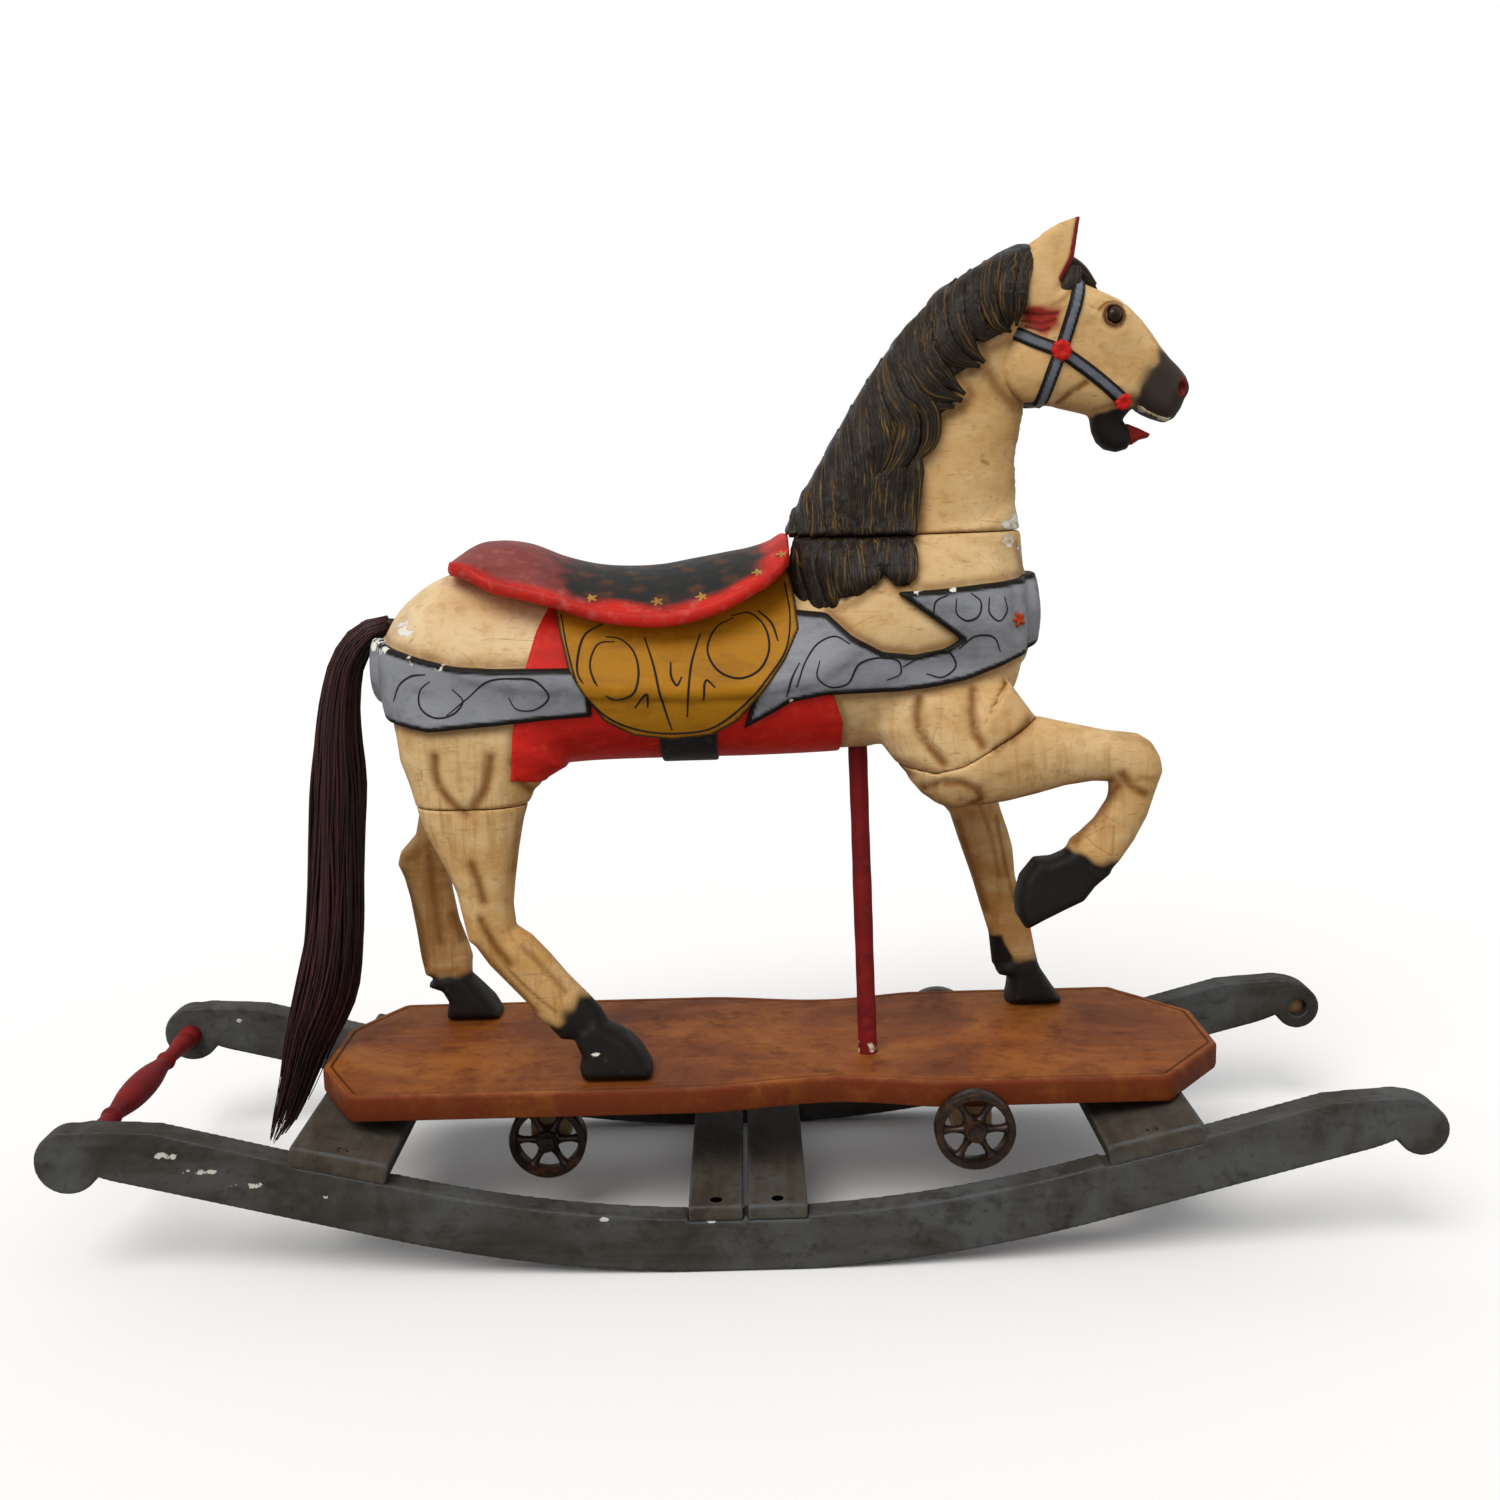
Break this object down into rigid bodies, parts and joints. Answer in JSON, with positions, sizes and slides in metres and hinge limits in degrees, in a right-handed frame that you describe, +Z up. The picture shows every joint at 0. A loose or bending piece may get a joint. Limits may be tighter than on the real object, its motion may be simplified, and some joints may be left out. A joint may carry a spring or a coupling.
{
  "type": "rocking horse",
  "caption": "Carved wooden horse standing on a wheeled board that rests on slatted bow rockers, with saddle, harness, support pole and hair tail.",
  "frame": {"origin": "on the floor under the middle of the rockers, midway between their ends and between their outer faces", "axes": "+X the way the horse faces, +Y the horse's left, +Z up"},
  "size_m": [1.413, 0.4, 1.0398],
  "materials": {
    "cream_paint": "cream oil paint over gesso, aged varnish, brown glaze in the hollows, fine cracks",
    "dark_hair": "charcoal painted carving with gold-brown streaks",
    "saddle_paint": "red painted rim, dark green-black top with small yellow flowers, worn",
    "mustard_paint": "mustard ochre paint with black scroll lines",
    "red_paint": "bright red paint",
    "blue_grey_paint": "blue-grey paint with black edges and scrolls",
    "black_paint": "dark grey-black paint",
    "horse_hair": "dark maroon-brown hair",
    "eye_glass": "dark brown glass",
    "sienna_paint": "orange-brown varnished paint, darker at the scribed edge",
    "rocker_paint": "dark grey-green paint with blue-grey worn edges and white chips",
    "pole_paint": "dark red gloss paint",
    "bare_wood": "bare softwood",
    "cast_iron": "dark rusty iron"
  },
  "bodies": {
    "rocker_base": {"rear_spindle": "pole_paint", "rocker_left": "rocker_paint", "rocker_right": "rocker_paint", "slat_front": "rocker_paint", "slat_front_screw_left": "cast_iron", "slat_front_screw_right": "cast_iron", "slat_middle_front": "rocker_paint", "slat_middle_front_screw_left": "cast_iron", "slat_middle_front_screw_right": "cast_iron", "slat_middle_rear": "rocker_paint", "slat_middle_rear_screw_left": "cast_iron", "slat_middle_rear_screw_right": "cast_iron", "slat_rear": "rocker_paint", "slat_rear_screw_left": "cast_iron", "slat_rear_screw_right": "cast_iron"},
    "horse_platform": {"breast_strap": "blue_grey_paint", "bridle_cheek_strap_left": "blue_grey_paint", "bridle_cheek_strap_right": "blue_grey_paint", "bridle_crown_strap": "blue_grey_paint", "eye_left": "eye_glass", "eye_right": "eye_glass", "foreleg_dowel_left": "bare_wood", "foreleg_dowel_right": "bare_wood", "foreleg_left": "cream_paint", "foreleg_right": "cream_paint", "front_axle": "cast_iron", "front_bearer": "bare_wood", "girth_strap": "black_paint", "head": "cream_paint", "head_dowel": "bare_wood", "hind_leg_dowel_left": "bare_wood", "hind_leg_dowel_right": "bare_wood", "hind_leg_left": "cream_paint", "hind_leg_right": "cream_paint", "hoof_bolt_fore_left": "cast_iron", "hoof_bolt_hind_left": "cast_iron", "hoof_bolt_hind_right": "cast_iron", "mane_lower": "dark_hair", "mane_upper": "dark_hair", "neck": "cream_paint", "neck_dowel": "bare_wood", "platform_board": "sienna_paint", "rear_axle": "cast_iron", "rear_bearer": "bare_wood", "rear_strap": "blue_grey_paint", "rosette_bit_left": "red_paint", "rosette_bit_right": "red_paint", "rosette_temple_left": "red_paint", "rosette_temple_right": "red_paint", "saddle_cloth": "red_paint", "saddle_flap_left": "mustard_paint", "saddle_flap_right": "mustard_paint", "saddle_seat": "saddle_paint", "support_pole": "pole_paint", "tail": "horse_hair", "trunk": "cream_paint"},
    "front_wheel_left": {"front_wheel_left": "cast_iron"},
    "front_wheel_right": {"front_wheel_right": "cast_iron"},
    "rear_wheel_left": {"rear_wheel_left": "cast_iron"},
    "rear_wheel_right": {"rear_wheel_right": "cast_iron"}
  },
  "joints": [
    {"name": "platform_lift", "type": "slide", "parent": "rocker_base", "child": "horse_platform", "axis": [0, 0, 1], "range_m": [0, 0.15]},
    {"name": "front_wheel_left_spin", "type": "hinge", "parent": "horse_platform", "child": "front_wheel_left", "pos_m": [0.237, 0.162, 0.13], "axis": [0, 1, 0], "continuous": true},
    {"name": "front_wheel_right_spin", "type": "hinge", "parent": "horse_platform", "child": "front_wheel_right", "pos_m": [0.237, -0.162, 0.13], "axis": [0, 1, 0], "continuous": true},
    {"name": "rear_wheel_left_spin", "type": "hinge", "parent": "horse_platform", "child": "rear_wheel_left", "pos_m": [-0.208, 0.09, 0.1], "axis": [0, 1, 0], "continuous": true},
    {"name": "rear_wheel_right_spin", "type": "hinge", "parent": "horse_platform", "child": "rear_wheel_right", "pos_m": [-0.208, -0.09, 0.1], "axis": [0, 1, 0], "continuous": true}
  ]
}
